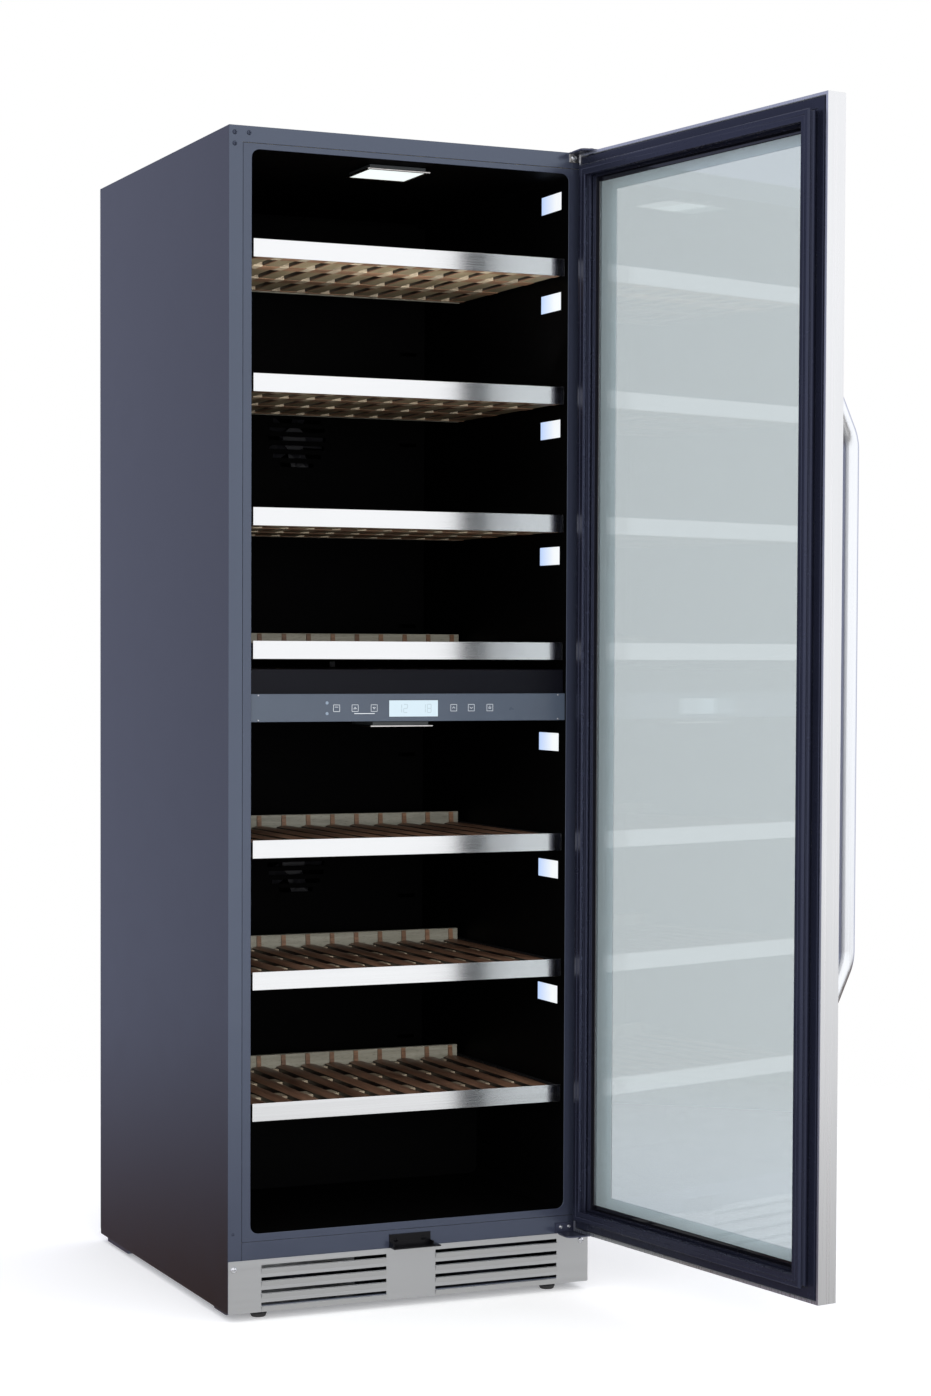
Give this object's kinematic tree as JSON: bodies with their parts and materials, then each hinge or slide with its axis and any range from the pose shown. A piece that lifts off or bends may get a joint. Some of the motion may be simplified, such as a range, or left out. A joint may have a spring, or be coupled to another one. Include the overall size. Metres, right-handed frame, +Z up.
{
  "type": "wine cooler",
  "caption": "Tall free-standing two-zone wine cooler, glass door on the right with a long tube handle, sliding wooden shelves and louvred kick plate",
  "frame": {"origin": "centre of the bounding box of the whole object with its door open as stored, on the floor under the feet", "axes": "+Z up; the open front of the case faces -Y; +X is to the right as seen from in front, the side the door is hinged on"},
  "size_m": [0.7292, 1.2476, 1.7689],
  "materials": {
    "painted steel": "slate grey satin paint",
    "zinc steel": "bare zinc-coated sheet",
    "black plastic": "black, matt",
    "foam": null,
    "panel plastic": "blue-grey, satin",
    "display": "lit display window",
    "light": "opal diffuser",
    "stainless": "brushed stainless",
    "polished": "bright stainless",
    "hinge steel": "dark grey",
    "rubber": "black",
    "glass": "double glazing, slightly tinted",
    "wood": "stained beech",
    "compressor paint": "black paint",
    "aluminium": "bare"
  },
  "bodies": {
    "cabinet": {"outer_case": "painted steel", "rear_panel": "zinc steel", "base_tray": "painted steel", "inner_liner": "black plastic", "insulation_foam": "foam", "zone_divider": "black plastic", "control_panel": "panel plastic", "display_module": "display", "upper_lamp": "light", "lower_lamp": "light", "side_light": "light", "kick_plate": "stainless", "lock_catch": "hinge steel", "front_left_foot": "rubber", "front_right_foot": "rubber", "rear_left_foot": "rubber", "rear_right_foot": "rubber", "compressor": "compressor paint", "condenser": "aluminium", "upper_fan_cover": "black plastic", "lower_fan_cover": "black plastic", "evaporator": "aluminium", "upper_hinge": "hinge steel", "lower_hinge": "hinge steel", "shelf_1_left_rail": "zinc steel", "shelf_1_right_rail": "zinc steel", "shelf_2_left_rail": "zinc steel", "shelf_2_right_rail": "zinc steel", "shelf_3_left_rail": "zinc steel", "shelf_3_right_rail": "zinc steel", "shelf_4_left_rail": "zinc steel", "shelf_4_right_rail": "zinc steel", "shelf_5_left_rail": "zinc steel", "shelf_5_right_rail": "zinc steel", "shelf_6_left_rail": "zinc steel", "shelf_6_right_rail": "zinc steel", "shelf_7_left_rail": "zinc steel", "shelf_7_right_rail": "zinc steel"},
    "door": {"door_frame": "stainless", "door_inner_frame": "black plastic", "door_gasket": "rubber", "door_glass": "glass", "door_handle": "stainless"},
    "shelf_1": {"shelf_1_slats": "wood", "shelf_1_trim": "polished"},
    "shelf_2": {"shelf_2_slats": "wood", "shelf_2_trim": "polished"},
    "shelf_3": {"shelf_3_slats": "wood", "shelf_3_trim": "polished"},
    "shelf_4": {"shelf_4_slats": "wood", "shelf_4_trim": "polished"},
    "shelf_5": {"shelf_5_slats": "wood", "shelf_5_trim": "polished"},
    "shelf_6": {"shelf_6_slats": "wood", "shelf_6_trim": "polished"},
    "shelf_7": {"shelf_7_slats": "wood", "shelf_7_trim": "polished"},
    "upper_fan": {"upper_fan": "black plastic"},
    "lower_fan": {"lower_fan": "black plastic"},
    "condenser_fan": {"condenser_fan": "black plastic"}
  },
  "joints": [
    {"name": "door_hinge", "type": "hinge", "parent": "cabinet", "child": "door", "pos_m": [0.21282, -0.0509, 0.093], "axis": [0, 0, 1], "range_deg": [-98.3, 12]},
    {"name": "shelf_1_slide", "type": "slide", "parent": "cabinet", "child": "shelf_1", "axis": [0, -1, 0], "range_m": [0, 0.3]},
    {"name": "shelf_2_slide", "type": "slide", "parent": "cabinet", "child": "shelf_2", "axis": [0, -1, 0], "range_m": [0, 0.3]},
    {"name": "shelf_3_slide", "type": "slide", "parent": "cabinet", "child": "shelf_3", "axis": [0, -1, 0], "range_m": [0, 0.3]},
    {"name": "shelf_4_slide", "type": "slide", "parent": "cabinet", "child": "shelf_4", "axis": [0, -1, 0], "range_m": [0, 0.3]},
    {"name": "shelf_5_slide", "type": "slide", "parent": "cabinet", "child": "shelf_5", "axis": [0, -1, 0], "range_m": [0, 0.3]},
    {"name": "shelf_6_slide", "type": "slide", "parent": "cabinet", "child": "shelf_6", "axis": [0, -1, 0], "range_m": [0, 0.3]},
    {"name": "shelf_7_slide", "type": "slide", "parent": "cabinet", "child": "shelf_7", "axis": [0, -1, 0], "range_m": [0, 0.3]},
    {"name": "upper_fan_spin", "type": "hinge", "parent": "cabinet", "child": "upper_fan", "pos_m": [-0.07043, 0.4958, 1.35], "axis": [0, 1, 0], "continuous": true},
    {"name": "lower_fan_spin", "type": "hinge", "parent": "cabinet", "child": "lower_fan", "pos_m": [-0.07043, 0.4958, 0.64], "axis": [0, 1, 0], "continuous": true},
    {"name": "condenser_fan_spin", "type": "hinge", "parent": "cabinet", "child": "condenser_fan", "pos_m": [-0.18718, 0.3768, 0.085], "axis": [0, 1, 0], "continuous": true}
  ]
}
